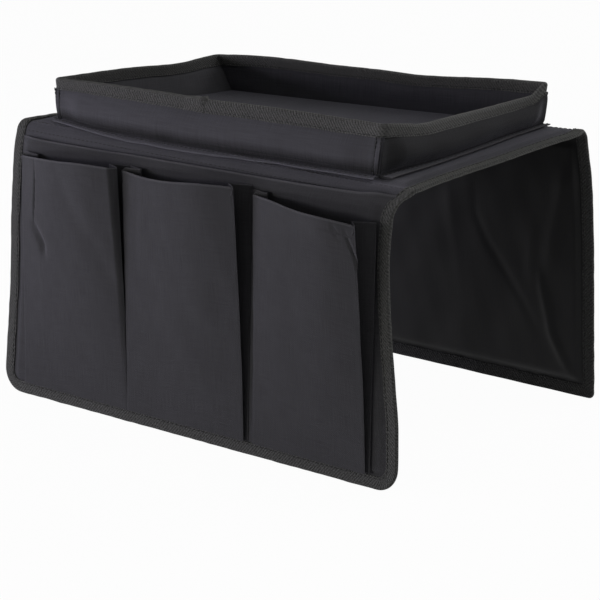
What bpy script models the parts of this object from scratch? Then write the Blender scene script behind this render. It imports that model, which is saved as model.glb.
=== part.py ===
"""Sofa armrest organizer: a cloth caddy, stiffened with card, that saddles a sofa arm.

+X runs along the arm, the pockets face -Y and +Z is up. The origin is the middle of the top
panel's underside, which lies on the arm. Lengths are metres and angles are degrees.

Each panel is drawn flat, as a pattern piece: x across it, y up it and z out of its show side,
with z = 0 at the middle of its thickness. The panel's frame then puts it in place.
"""

from math import acos, atan2, cos, pi, radians, sin, sqrt

import bmesh
import bpy
from mathutils import Vector

# Overall sizes
FOLD_WIDTH = 0.306     # the top panel, and the flaps where they fold
FLARE = 0.007          # how far each flap's bottom corner stands out past its fold
SPAN = 0.181           # show side of the front flap to that of the back flap, at the folds
FRONT_DROP = 0.1745    # show side of the top down to the front hem
BACK_DROP = 0.165
FRONT_LEAN_ANGLE = 3.6   # how far each flap leans out from upright
BACK_LEAN_ANGLE = -1.3
HEM_RADIUS = 0.014     # bottom corners of the flaps

# Materials by thickness
BOARD = 0.0020
CLOTH = 0.0006
TAPE = 0.0007
EASE = 0.0003          # room between two pieces that touch

# Seams: the cloth lies flat along an edge, then climbs on to the board
TAPE_COVER = 0.0075    # how far the edge tape reaches over a panel
SEAM = 0.0080
FOLD_SEAM = 0.0030     # the flat strip beside a fold
CLIMB = 0.0025

# Folds
BEND = 0.0060          # radius of the web between two panels
FOLD_CLEAR = 0.0005    # room between a flap folded under the top and the top

# Tray
TRAY_INSET_SIDE = 0.021   # edge of the top panel in to the tray's wall
TRAY_INSET_FRONT = 0.0136
TRAY_INSET_BACK = 0.0144
TRAY_HEIGHT = 0.029
RIM_RADIUS = 0.0025
FLANGE = 0.0045        # seam allowance turned out round the tray's foot
FLANGE_THICKNESS = 0.0012

# Pockets
MAGAZINE_MOUTH = 0.0095  # the flat pocket's hem, below the show side of the top
POCKET_HEIGHT = 0.1505
POCKET_STAND = 0.0205    # how far a pocket's mouth stands off
POCKET_BULGE = 0.0015
POCKET_INSET = 0.0020    # face edge to the seam beside it
MOUTH_HEM = 0.0070
PLEAT = 0.0140           # depth of the fold in a gusset
PLEAT_RADIUS = 0.00045
SEAM_SHARES = (-0.915, -0.335, 0.287, 0.868)      # pocket seams across half the hem
MOUTH_SHARES = (0.60, 0.90, 1.00, 0.98, 0.82)     # a mouth's stand, left edge to right edge

# Smoothness
ARC_STEPS = 5
FACE_COLUMNS = 16
FACE_ROWS = 6

HEM_WIDTH = FOLD_WIDTH + 2 * FLARE
TRAY_LENGTH = FOLD_WIDTH - 2 * TRAY_INSET_SIDE
TRAY_DEPTH = SPAN - TRAY_INSET_FRONT - TRAY_INSET_BACK
PANEL = BOARD + 2 * (CLOTH + EASE)
HINGE_INSET = PANEL + FOLD_CLEAR      # hinge line behind the show side
HINGE_DEPTH = HINGE_INSET - PANEL / 2  # hinge line behind the middle of a panel
EDGE_ROOM = TAPE + EASE               # finished edge to the edge of the cloth
LAYER = CLOTH + EASE

COLOURS = {
    "cloth": ((0.047, 0.045, 0.062), 0.85),
    "lining": ((0.018, 0.018, 0.020), 0.75),
    "tape": ((0.043, 0.043, 0.044), 0.90),
    "card": ((0.300, 0.230, 0.160), 0.95),
}

for old in list(bpy.data.objects):
    bpy.data.objects.remove(old)

part = bpy.data.collections.new("armrest_organizer")
guides = bpy.data.collections.new("sewing_guides")
for group in (part, guides):
    bpy.context.scene.collection.children.link(group)


def material(name):
    """A plain finish of its own for one node."""
    colour, roughness = COLOURS[name]
    made = bpy.data.materials.new(name)
    made.use_nodes = True
    shader = made.node_tree.nodes["Principled BSDF"]
    shader.inputs["Base Color"].default_value = (*colour, 1)
    shader.inputs["Roughness"].default_value = roughness
    shader.inputs["Metallic"].default_value = 0
    return made


def place(name, data, finish, frame):
    """Names a piece, gives it its finish and puts it in its frame: (parent, location, turn)."""
    parent, location, turn = frame
    piece = bpy.data.objects.new(name, data)
    piece.parent = parent
    piece.location = location
    piece.rotation_euler = turn
    data.materials.append(material(finish))
    part.objects.link(piece)
    return piece


def axis_empty(name, location, turn, parent=None):
    """An empty on the line that a piece turns about."""
    empty = bpy.data.objects.new(name, None)
    empty.parent = parent
    empty.location = location
    empty.rotation_euler = turn
    part.objects.link(empty)
    return empty


def rounded(corners, radii):
    """The outline through corners, with the ones that radii names by their place turned to arcs."""
    outline = []
    for place_in_list, corner in enumerate(corners):
        here = Vector(corner)
        radius = radii.get(place_in_list, 0)
        if not radius:
            outline.append(tuple(here))
            continue
        back = (Vector(corners[place_in_list - 1]) - here).normalized()
        ahead = (Vector(corners[(place_in_list + 1) % len(corners)]) - here).normalized()
        half = back.angle(ahead) / 2
        centre = here + (back + ahead).normalized() * radius / sin(half)
        first = here + back * radius * cos(half) / sin(half) - centre
        last = here + ahead * radius * cos(half) / sin(half) - centre
        turn = atan2(first.x * last.y - first.y * last.x, first.dot(last))
        start = atan2(first.y, first.x)
        for step in range(ARC_STEPS + 1):
            angle = start + turn * step / ARC_STEPS
            outline.append((centre.x + radius * cos(angle), centre.y + radius * sin(angle)))
    return outline


def ribbon(line, left, right):
    """The closed outline of a strip along line, reaching left and right of it."""
    points = [Vector(p) for p in line]
    sides = ([], [])
    for at, here in enumerate(points):
        into = (here - points[max(at - 1, 0)]).normalized()
        out = (points[min(at + 1, len(points) - 1)] - here).normalized()
        along = (into + out).normalized()
        normal = Vector((-along.y, along.x))
        legs = [Vector((-leg.y, leg.x)) for leg in (into, out) if leg.length > 0]
        mitre = normal.dot(legs[0])
        sides[0].append(tuple(here + normal * left / mitre))
        sides[1].append(tuple(here - normal * right / mitre))
    return sides[1] + sides[0][::-1]


def flat_curve(name, outline, cyclic=True):
    """A straight-sided curve in its own plane."""
    curve = bpy.data.curves.new(name, "CURVE")
    curve.dimensions = "2D"
    spline = curve.splines.new("POLY")
    spline.points.add(len(outline) - 1)
    for point, (x, y) in zip(spline.points, outline):
        point.co = (x, y, 0, 1)
    spline.use_cyclic_u = cyclic
    return curve


def slab(name, outline, thickness, finish, frame):
    """A flat outline with a thickness, half of it each side of the drawing."""
    curve = flat_curve(name, outline)
    curve.fill_mode = "BOTH"
    curve.extrude = thickness / 2
    return place(name, curve, finish, frame)


def block(name, size, finish, frame, open_bottom=False):
    """A box that stands on its frame's origin, or a cap with no bottom."""
    mesh = bpy.data.meshes.new(name)
    shape = bmesh.new()
    bmesh.ops.create_cube(shape, size=1)
    bmesh.ops.scale(shape, vec=size, verts=shape.verts)
    bmesh.ops.translate(shape, vec=(0, 0, size[2] / 2), verts=shape.verts)
    if open_bottom:
        shape.faces.ensure_lookup_table()
        bottom = min(shape.faces, key=lambda face: face.calc_center_median().z)
        bmesh.ops.delete(shape, geom=[bottom], context="FACES_ONLY")
    shape.to_mesh(mesh)
    shape.free()
    return place(name, mesh, finish, frame)


def thicken(piece, thickness, offset):
    """Gives an open sheet its thickness: offset 1 grows it outwards, 0 both ways."""
    wall = piece.modifiers.new("thickness", "SOLIDIFY")
    wall.thickness = thickness
    wall.offset = offset
    return piece


def sewn_sheet(name, outline, layer, finish, frame, cuts, show_side=True):
    """A cloth that lies flat along its seams and climbs on to the board, then has its folds cut.

    layer counts the cloths from the board outwards, from 0.
    """
    mesh = bpy.data.meshes.new(name)
    shape = bmesh.new()
    face = shape.faces.new([shape.verts.new((x, y, 0)) for x, y in outline])
    shape.normal_update()
    for margin, rise in ((SEAM, 0), (CLIMB, (BOARD + EASE) / 2)):
        bmesh.ops.inset_region(shape, faces=[face], thickness=margin, depth=rise,
                               use_boundary=True, use_even_offset=True)
    bmesh.ops.translate(shape, vec=(0, 0, EASE / 2 + layer * LAYER), verts=shape.verts)
    for y, away in cuts:
        everything = shape.verts[:] + shape.edges[:] + shape.faces[:]
        bmesh.ops.bisect_plane(shape, geom=everything, plane_co=(0, y, 0),
                               plane_no=(0, away, 0), clear_outer=True)
    if not show_side:
        bmesh.ops.scale(shape, vec=(1, 1, -1), verts=shape.verts)
        bmesh.ops.reverse_faces(shape, faces=shape.faces[:])
    shape.to_mesh(mesh)
    shape.free()
    return thicken(place(name, mesh, finish, frame), CLOTH, 1)


def tape_section(over, under):
    """A tape folded into a U: (reach, across) with its web just outside reach 0."""
    leg = TAPE_COVER - TAPE
    corners = [(-leg, -under - TAPE), (TAPE, -under - TAPE), (TAPE, over + TAPE),
               (-leg, over + TAPE), (-leg, over), (0, over), (0, -under), (-leg, -under)]
    return rounded(corners, {1: TAPE, 2: TAPE})


def clockwise(outline):
    """The outline in the order that a bevelled curve needs for its faces to point out."""
    area = sum(a[0] * b[1] - b[0] * a[1] for a, b in zip(outline, outline[1:] + outline[:1]))
    return outline[::-1] if area > 0 else outline


def tape(name, line, section, frame, cyclic=False):
    """Sews a tape of the given section along a line. The section's x is to the line's right."""
    section = clockwise(section)
    guide = bpy.data.objects.new(name + "_section", flat_curve(name + "_section", section))
    guide.hide_render = True
    guide.display_type = "WIRE"
    guides.objects.link(guide)
    curve = flat_curve(name, line, cyclic)
    curve.bevel_mode = "OBJECT"
    curve.bevel_object = guide
    curve.use_fill_caps = not cyclic
    return place(name, curve, "tape", frame)


def loft(name, sections, finish, frame):
    """A solid through like outlines, each (height, outline) with the outline across it."""
    mesh = bpy.data.meshes.new(name)
    shape = bmesh.new()
    rings = [[shape.verts.new((x, height, z)) for x, z in outline] for height, outline in sections]
    for low, high in zip(rings, rings[1:]):
        for at in range(len(low)):
            shape.faces.new((low[at - 1], low[at], high[at], high[at - 1]))
    shape.faces.new(rings[0])
    shape.faces.new(rings[-1])
    bmesh.ops.recalc_face_normals(shape, faces=shape.faces)
    shape.to_mesh(mesh)
    shape.free()
    return place(name, mesh, finish, frame)


def layers_over(count):
    """Middle of a seam up to the tape that closes over that many cloths."""
    return EASE / 2 + count * LAYER


# The top panel: card between two cloths, taped along its free edges
TOP_FRAME = (None, (0, 0, PANEL / 2), (0, 0, 0))
TOP_END = SPAN / 2 - PANEL / 2 - BEND - EASE
TOP_EDGE = FOLD_WIDTH / 2 - EDGE_ROOM


def box_outline(half_x, half_y):
    """Corners of a rectangle, from the lower left and on to the right."""
    return [(-half_x, -half_y), (half_x, -half_y), (half_x, half_y), (-half_x, half_y)]


def top_panel():
    over_fold = TOP_END + SEAM - FOLD_SEAM
    cuts = ((TOP_END, 1), (-TOP_END, -1))
    outline = box_outline(TOP_EDGE, over_fold)
    sewn_sheet("top_cover", outline, 0, "cloth", TOP_FRAME, cuts)
    sewn_sheet("top_lining", outline, 0, "lining", TOP_FRAME, cuts, show_side=False)
    board = box_outline(TOP_EDGE - SEAM - CLIMB - EASE, TOP_END - FOLD_SEAM - CLIMB - EASE)
    slab("top_board", board, BOARD, "card", TOP_FRAME)
    section = tape_section(layers_over(1), layers_over(1))
    line_x = TOP_EDGE + EASE
    tape("top_binding_left", [(-line_x, TOP_END), (-line_x, -TOP_END)], section, TOP_FRAME)
    tape("top_binding_right", [(line_x, -TOP_END), (line_x, TOP_END)], section, TOP_FRAME)


top_panel()

# The tray: board sleeves round a stiff floor, sewn down by a flange and taped at the rim
TRAY_Y = (TRAY_INSET_FRONT - TRAY_INSET_BACK) / 2
TRAY_BASE = PANEL + EASE
WALL = PANEL
POST = WALL
CHANNEL = TRAY_HEIGHT - TAPE_COVER - CLIMB - CLOTH - 3 * EASE   # height of a wall's board


def sleeve_line():
    """Middle of the sleeve's cloth: down the outside, under the board and up the inside."""
    low = CLOTH / 2
    wide = BOARD / 2 + EASE + CLOTH / 2
    narrow = EASE / 2 + CLOTH / 2
    high = TRAY_HEIGHT - TAPE - 2 * EASE
    shoulder = low + EASE + CHANNEL
    outside = [(-narrow, high), (-narrow, shoulder + CLIMB), (-wide, shoulder), (-wide, low)]
    return outside + [(-x, z) for x, z in outside[::-1]]


def tray_wall(side, at, heading, length):
    """One sleeve with its board, and the flange strip at its foot. Local x points into the tray."""
    x, y = at
    frame = (None, (x, y, TRAY_BASE), (pi / 2, 0, heading))
    run = length - 2 * (POST + EASE)
    slab("tray_wall_" + side, ribbon(sleeve_line(), CLOTH / 2, CLOTH / 2), run, "cloth", frame)
    middle = CLOTH + EASE + CHANNEL / 2
    board = [(across, middle + up) for across, up in box_outline(BOARD / 2, CHANNEL / 2)]
    slab("tray_board_" + side, board, run, "card", frame)
    reach = WALL / 2 + EASE
    strip = rounded([(-reach - FLANGE, 0), (-reach, 0), (-reach, FLANGE_THICKNESS),
                     (-reach - FLANGE, FLANGE_THICKNESS)], {3: FLANGE_THICKNESS / 2})
    slab("tray_flange_" + side, strip, length, "cloth", frame)


def tray():
    mid_x = (TRAY_LENGTH - WALL) / 2
    mid_y = (TRAY_DEPTH - WALL) / 2
    tray_wall("front", (0, TRAY_Y - mid_y), pi / 2, TRAY_LENGTH)
    tray_wall("back", (0, TRAY_Y + mid_y), -pi / 2, TRAY_LENGTH)
    tray_wall("left", (-mid_x, TRAY_Y), 0, TRAY_DEPTH)
    tray_wall("right", (mid_x, TRAY_Y), pi, TRAY_DEPTH)

    floor_size = (TRAY_LENGTH - 2 * (WALL + EASE), TRAY_DEPTH - 2 * (WALL + EASE),
                  BOARD + EASE + CLOTH)
    floor_frame = (None, (0, TRAY_Y, TRAY_BASE), (0, 0, 0))
    cover = block("tray_floor_cover", floor_size, "cloth", floor_frame, open_bottom=True)
    thicken(cover, CLOTH, -1)
    inside = 2 * LAYER
    block("tray_floor_board", (floor_size[0] - inside, floor_size[1] - inside, BOARD), "card",
          floor_frame)

    post_height = TRAY_HEIGHT - TAPE_COVER - 2 * EASE
    corners = (("front_left", -1, -1), ("front_right", 1, -1),
               ("back_right", 1, 1), ("back_left", -1, 1))
    for outer, (name, side_x, side_y) in enumerate(corners):
        post = rounded(box_outline(POST / 2, POST / 2), {outer: POST / 3})
        spot = (side_x * mid_x, TRAY_Y + side_y * mid_y, TRAY_BASE + post_height / 2)
        slab("tray_seam_" + name, post, post_height, "cloth", (None, spot, (0, 0, 0)))

    rim_line = rounded(box_outline(mid_x, mid_y), {at: RIM_RADIUS for at in range(4)})
    section = [(across, reach) for reach, across in tape_section(layers_over(1), layers_over(1))]
    rim_frame = (None, (0, TRAY_Y, PANEL + TRAY_HEIGHT - TAPE), (0, 0, 0))
    tape("tray_rim_binding", rim_line, section, rim_frame, cyclic=True)


tray()


# The folds: the two cloths stitched together into a web, and the edge tape round its ends
def fold_line(lean_angle):
    """Middle of the web, seen from the side: (y, z) from the top panel's end to the flap's."""
    hinge = Vector((HINGE_INSET - SPAN / 2, PANEL - HINGE_INSET))
    lean = radians(lean_angle)
    down = Vector((-sin(lean), -cos(lean)))
    out = Vector((-cos(lean), sin(lean)))
    start = Vector((BEND + PANEL / 2 - SPAN / 2, PANEL / 2))
    end = hinge + out * HINGE_DEPTH + down * (BEND - HINGE_DEPTH)
    handle = BEND * 4 / 3 * (sqrt(2) - 1)
    bezier = (start, start + Vector((-handle, 0)), end - down * handle, end)
    line = []
    for step in range(2 * ARC_STEPS + 1):
        t = step / (2 * ARC_STEPS)
        weights = ((1 - t) ** 3, 3 * t * (1 - t) ** 2, 3 * t * t * (1 - t), t ** 3)
        line.append(tuple(sum((w * p for w, p in zip(weights, bezier)), Vector((0, 0)))))
    return line


def fold(side, lean_angle, turn):
    """The web across one fold, and its two tape ends. turn faces it forwards or backwards."""
    line = fold_line(lean_angle)
    heading = (pi / 2, 0, pi / 2 + turn)
    web = ribbon(line, CLOTH + EASE / 2, CLOTH + EASE / 2)
    slab(side + "_fold", web, 2 * TOP_EDGE, "cloth", (None, (0, 0, 0), heading))
    reach = TOP_EDGE + EASE
    section = tape_section(layers_over(1), layers_over(1))
    for name, sign in (("_fold_tape_left", -1), ("_fold_tape_right", 1)):
        outwards = sign * cos(turn)
        end = [(across, outwards * reach_in) for reach_in, across in section]
        tape(side + name, line, end, (None, (sign * reach, 0, 0), heading))


fold("front", FRONT_LEAN_ANGLE, 0)
fold("back", BACK_LEAN_ANGLE, pi)

# The flaps: card between two cloths, taped round both sides and the hem
FLAP_END = HINGE_DEPTH - BEND - EASE


def flap_outline(top, drop, inside):
    """Down the left edge, round the hem and up the right, inside the finished edge."""
    hem = HINGE_INSET - drop
    widen = FLARE / hem
    low = hem + inside
    top_half = FOLD_WIDTH / 2 + widen * top - inside
    low_half = FOLD_WIDTH / 2 + widen * low - inside
    corners = [(-top_half, top), (-low_half, low), (low_half, low), (top_half, top)]
    return rounded(corners, {1: HEM_RADIUS - inside, 2: HEM_RADIUS - inside})


def flap(side, drop, lean_angle, turn, outer_cloths):
    """One flap on its hinge line, with outer_cloths cloths under the show side of its tape."""
    y = HINGE_INSET - SPAN / 2
    hinge = axis_empty(side + "_hinge", (0, y * cos(turn), PANEL - HINGE_INSET),
                       (-radians(lean_angle), 0, turn))
    frame = (hinge, (0, -HINGE_DEPTH, 0), (pi / 2, 0, 0))
    outline = flap_outline(FLAP_END + SEAM - FOLD_SEAM, drop, EDGE_ROOM)
    cut = ((FLAP_END, 1),)
    sewn_sheet(side + "_cover", outline, 0, "cloth", frame, cut)
    sewn_sheet(side + "_lining", outline, 0, "lining", frame, cut, show_side=False)
    board = flap_outline(FLAP_END - FOLD_SEAM - CLIMB - EASE, drop,
                         EDGE_ROOM + SEAM + CLIMB + EASE)
    slab(side + "_board", board, BOARD, "card", frame)
    section = tape_section(layers_over(outer_cloths), layers_over(1))
    tape(side + "_binding", flap_outline(FLAP_END, drop, TAPE), section, frame)
    return frame


front_frame = flap("front", FRONT_DROP, FRONT_LEAN_ANGLE, 0, outer_cloths=2)
back_frame = flap("back", BACK_DROP, BACK_LEAN_ANGLE, pi, outer_cloths=1)

# The flat pocket: one more cloth over the front cover, open at its top
mouth_y = HINGE_INSET - MAGAZINE_MOUTH
sewn_sheet("magazine_pocket", flap_outline(mouth_y + SEAM + CLIMB, FRONT_DROP, EDGE_ROOM), 1,
           "cloth", front_frame, ((mouth_y, 1),))

# The bellows pockets: a face that stands off, and a gusset folded inwards at each side
POCKET_FLOOR = PANEL / 2 + LAYER        # show side of the flat pocket
STACK = 2 * LAYER + EASE + CLOTH / 2    # flat pocket to the middle of a face at its seam


def along(shares, t):
    """A smooth curve through evenly spaced shares."""
    place_in_list = t * (len(shares) - 1)
    at = min(int(place_in_list), len(shares) - 2)
    t = place_in_list - at
    before, a, b, after = (shares[min(max(at + k, 0), len(shares) - 1)] for k in (-1, 0, 1, 2))
    pull_a, pull_b = (b - before) / 2, (after - a) / 2
    rise = b - a
    return a + t * (pull_a + t * (3 * rise - 2 * pull_a - pull_b + t * (pull_a + pull_b - 2 * rise)))


def stand(across, up):
    """How far a face stands off its seam, at shares of its width and of its height."""
    mouth = POCKET_STAND * along(MOUTH_SHARES, across) - STACK
    return mouth * up + POCKET_BULGE * 4 * up * (1 - up) * sin(pi * across)


def hem_depth(up):
    """Extra cloth inside the face, where its mouth is turned in."""
    return LAYER if up > 1 - (MOUTH_HEM - EASE) / POCKET_HEIGHT else 0


def face_heights():
    """Shares of the height, closer together where the hem begins."""
    hem = 1 - MOUTH_HEM / POCKET_HEIGHT
    rows = [hem * row / FACE_ROWS for row in range(FACE_ROWS + 1)]
    return rows + [hem + CLOTH / POCKET_HEIGHT, 1]


def pocket_face(name, left, right, frame):
    sections = []
    for up in face_heights():
        line = []
        for column in range(FACE_COLUMNS + 1):
            across = column / FACE_COLUMNS
            line.append((left + (right - left) * across, stand(across, up)))
        outline = ribbon(line, CLOTH / 2, CLOTH / 2 + hem_depth(up))
        sections.append((up * POCKET_HEIGHT, outline))
    loft(name, sections, "cloth", frame)


def gusset_line(up, across):
    """Middle of a gusset at one height, as (inwards, out) from the seam: flap, fold, face edge."""
    seam = Vector((CLOTH, EASE + CLOTH / 2 - STACK))
    edge = Vector((POCKET_INSET, stand(across, up) - LAYER - hem_depth(up)))
    opening = (edge.y - seam.y) / 2
    fold_in = sqrt(PLEAT ** 2 - (opening - PLEAT_RADIUS) ** 2) - PLEAT_RADIUS
    centre = Vector((seam.x + fold_in, (seam.y + edge.y) / 2))

    def touch(point, side):
        away = point - centre
        return atan2(away.y, away.x) + side * acos(PLEAT_RADIUS / away.length)

    first = touch(seam, 1)
    last = touch(edge, -1)
    first -= 2 * pi * (first > 0)
    last -= 2 * pi * (last > 0)
    if first > last:
        last += 2 * pi
    arc = [first + (last - first) * step / ARC_STEPS for step in range(ARC_STEPS + 1)]
    turn = [centre + PLEAT_RADIUS * Vector((cos(a), sin(a))) for a in arc]
    return [tuple(p) for p in (seam, *turn, edge)]


def gusset(name, seam_x, inwards, across, frame):
    """A pleated pocket side. inwards is 1 where its fold points to +x, -1 where to -x."""
    sections = []
    for up in face_heights():
        line = [(seam_x + inwards * x, z) for x, z in gusset_line(up, across)]
        sections.append((up * POCKET_HEIGHT, ribbon(line, CLOTH / 2, CLOTH / 2)))
    loft(name, sections, "cloth", frame)


def bellows_pocket(name, left_seam, right_seam):
    seam_y = HINGE_INSET - FRONT_DROP + TAPE_COVER + EASE
    hinge = axis_empty(name + "_hinge", (0, -HINGE_DEPTH - POCKET_FLOOR - STACK, seam_y),
                       (0, 0, 0), front_frame[0])
    frame = (hinge, (0, 0, 0), (pi / 2, 0, 0))
    pocket_face(name, left_seam + POCKET_INSET, right_seam - POCKET_INSET, frame)
    gusset(name + "_gusset_a", left_seam, 1, 0, frame)
    gusset(name + "_gusset_b", right_seam, -1, 1, frame)


seams = [share * HEM_WIDTH / 2 for share in SEAM_SHARES]
for pocket_name, left_seam, right_seam in zip(
        ("pocket_left", "pocket_middle", "pocket_right"), seams, seams[1:]):
    bellows_pocket(pocket_name, left_seam, right_seam)
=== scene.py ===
from math import cos, hypot, pi, radians, sin, sqrt

import bpy
import numpy as np
from mathutils import Matrix, Vector


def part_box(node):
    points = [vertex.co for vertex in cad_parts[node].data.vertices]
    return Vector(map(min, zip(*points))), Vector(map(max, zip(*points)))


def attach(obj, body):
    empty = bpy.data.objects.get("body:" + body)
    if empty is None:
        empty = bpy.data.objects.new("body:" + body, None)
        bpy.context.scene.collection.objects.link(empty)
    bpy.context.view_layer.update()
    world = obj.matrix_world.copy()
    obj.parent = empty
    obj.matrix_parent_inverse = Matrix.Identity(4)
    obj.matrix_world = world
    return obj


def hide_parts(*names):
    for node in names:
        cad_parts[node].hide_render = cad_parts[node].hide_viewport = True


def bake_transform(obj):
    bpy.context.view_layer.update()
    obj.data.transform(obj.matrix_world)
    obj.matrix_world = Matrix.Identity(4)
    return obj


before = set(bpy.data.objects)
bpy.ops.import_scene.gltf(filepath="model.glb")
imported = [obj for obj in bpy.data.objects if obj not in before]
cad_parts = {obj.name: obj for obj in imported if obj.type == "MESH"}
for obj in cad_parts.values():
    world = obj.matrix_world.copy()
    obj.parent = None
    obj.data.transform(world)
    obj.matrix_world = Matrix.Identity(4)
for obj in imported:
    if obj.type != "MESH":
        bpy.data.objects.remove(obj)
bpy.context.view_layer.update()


# The cards: grey board cut for the top, the two flaps, the tray's floor and its four walls, and
# closed in between the cloths, which are sewn together round it. They give the cloth its shape.
# The top's card has warped with use, so its back left corner sits low, with all that it carries.
MM = 0.001
HINGE_Y = 0.0862            # the fold lines, front and back
HINGE_Z = -0.0005
MID = 0.0019                # middle of the top's thickness, and of a flap's in front of its hinge
HINGE_DEPTH = 0.0024
BEND = 0.0060               # radius of the folds
FRONT_LEAN = radians(3.6)
BACK_LEAN = radians(-1.3)
FRONT_DROP = 0.1702         # hinge down to the finished hem
BACK_DROP = 0.1607
FOLD_HALF = 0.153           # half the finished width at the folds
HEM_HALF = 0.160
HEM_RADIUS = 0.014
BACK_HEM_RADIUS = 0.0035
BOARD = 0.0020
CLOTH = 0.00045
TWIST = 0.28                # how fast the top drops towards its back left corner, a metre squared
LEVEL_X = 0.087             # the line along which the top has stayed level
TRAY_FOOT = 0.0045
TRAY_RISE = 0.0283          # foot to rim
TRAY_EDGE = 0.132
TRAY_ENDS = (-0.077, 0.076)     # front and back
# How far the rim has risen on the front and back walls, and the foot moved inwards on the right wall
# and outwards on the front one: pairs of a place along the wall and a distance, in mm.
FRONT_SLUMP = ((-132, -2.9), (-97, -1.6), (-60, -0.9), (-33, -0.6), (-6, -0.8), (30, 0.5), (61, 1.1),
               (99, 1.5), (132, 1.9))
BACK_SLUMP = ((-132, -2.8), (-109, -2.0), (-73, -2.3), (-40, -3.4), (5, -3.9), (33, -4.8), (55, -4.2),
              (75, -3.2), (100, -2.2), (132, -1.8))
FOOT_PUSH = ((-82, 3.2), (-69, 3.9), (-60, 3.5), (-46, 2.0), (-30, 0.9), (-14, 0.9), (0, 1.6), (20, 3.2),
             (40, 4.8), (60, 5.1), (78, 4.6))
FOOT_FORWARD = ((-134, 0.3), (-122, 1.4), (-106, 3.6), (-80, 6.0), (-40, 6.8), (0, 6.4), (29, 5.0),
                (61, 3.5), (97, 2.6), (132, 1.5))
LEFT_DIP, LEFT_DIP_Y, LEFT_DIP_REACH = 0.0021, 0.034, 0.033
RIGHT_SAG = 0.0060          # how far the right wall's rim hangs between its corners
WALL_SWAY = 0.0005          # how far the walls lean in and out along their length
SKEW_FOOT, SKEW_RIM, SKEW_REACH = 0.0043, 0.0098, 0.036     # the back left corner, out and then in
SPLAY_RIM, SPLAY_FOOT = 0.0016, 0.0022                      # the front left corner, out and in


def ramp(value, start, end):
    """0 before start and 1 past end, with a soft rise between."""
    t = np.clip((np.asarray(value, float) - start) / (end - start), 0, 1)
    return t * t * (3 - 2 * t)


def distances(*line):
    """How far each point of a line lies from its start, measured along it."""
    steps = np.linalg.norm([np.diff(values) for values in line], axis=0)
    return np.concatenate([[0], np.cumsum(steps)])


def unevenness(a, b, length, seed, waves=7):
    """A smooth random relief, about -1 to 1, whose swells are about length long."""
    chance = np.random.RandomState(seed)
    total = np.zeros(np.broadcast(a, b).shape)
    for _ in range(waves):
        heading = chance.uniform(0, 2 * pi)
        pace = 2 * pi / (length * chance.uniform(0.7, 1.5))
        total += np.sin((a * cos(heading) + b * sin(heading)) * pace + chance.uniform(0, 2 * pi))
    return total / sqrt(waves * 2)


def smooth_line(places, at):
    """A smooth line through pairs of a place and a value, read at the given places."""
    spots, values = (np.array(part, float) for part in zip(*places))
    slopes = np.gradient(values, spots)
    at = np.clip(at, spots[0], spots[-1])
    cell = np.clip(np.searchsorted(spots, at, side="right") - 1, 0, len(spots) - 2)
    width = spots[cell + 1] - spots[cell]
    t = (at - spots[cell]) / width
    return ((2 * t ** 3 - 3 * t ** 2 + 1) * values[cell] + (t ** 3 - 2 * t ** 2 + t) * width * slopes[cell]
            + (3 * t ** 2 - 2 * t ** 3) * values[cell + 1] + (t ** 3 - t ** 2) * width * slopes[cell + 1])


def sunk(x, y):
    """How far the warped top sits above its true place, or below it where this is negative."""
    return TWIST * (x - LEVEL_X) * (np.clip(y, -HINGE_Y, HINGE_Y) + HINGE_Y)


def settled(points, stands_on_top=False):
    """Moves points from their true place to where the used object's warp has taken them."""
    x, y, z = np.moveaxis(np.array(points, float), -1, 0)
    drop = sunk(x, y)
    if stands_on_top:
        height = np.clip((z - TRAY_FOOT) / TRAY_RISE, 0, 1.1)
        foot = 1 - 1.1 * height
        backwards = np.clip((y - TRAY_ENDS[0]) / (TRAY_ENDS[1] - TRAY_ENDS[0]), 0, 1)
        slump = (smooth_line(FRONT_SLUMP, x / MM) * (1 - backwards)
                 + smooth_line(BACK_SLUMP, x / MM) * backwards) * MM
        slump = slump - LEFT_DIP * ramp(-x, 0.09, 0.13) * np.exp(-((y - LEFT_DIP_Y) / LEFT_DIP_REACH) ** 2)
        slump = slump - (RIGHT_SAG * ramp(x, 0.118, 0.131)
                         * ramp(y, -0.078, -0.034) * ramp(-y, -0.073, -0.060))
        z = z + drop + height * slump
        sway = WALL_SWAY * height
        inwards = ramp(x, 0.04, TRAY_EDGE) * smooth_line(FOOT_PUSH, y / MM) * MM
        outwards = ramp(-y, 0.058, 0.0765) * smooth_line(FOOT_FORWARD, x / MM) * MM
        near = np.exp(-((x + TRAY_EDGE) ** 2 + (y - TRAY_ENDS[1]) ** 2) / SKEW_REACH ** 2)
        skew = near * (SKEW_FOOT - SKEW_RIM * height)
        splay = ((SPLAY_RIM * height - SPLAY_FOOT * (1 - height))
                 * ramp(-x, 0.12, 0.13) * ramp(-y, 0.0, 0.07))
        x = x + sway * unevenness(y, 0 * y, 0.09, 3) - inwards * foot + 0.74 * skew - splay
        y = y + sway * unevenness(x, 0 * x, 0.13, 8) + 0.67 * skew - outwards * foot
        over_fold = np.clip(HINGE_Y + HINGE_DEPTH - BEND + y, -0.006, 0)
        draped = 0.0010 * ramp(-y, 0.079, 0.083) + over_fold ** 2 / (2 * BEND)
        z = z - draped * np.clip(1 - 2 * height, 0, 1)
    else:
        fades = np.where((y > 0) & (z < 0), np.clip(1 + z / (2 * HINGE_Y), 0, 1), 1)
        spread = ramp(y, 0.070, 0.0826) if np.ndim(y) else 0
        z = z + drop * fades
        y = y - drop * fades * spread
    return np.stack([x, y, z], -1)


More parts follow.
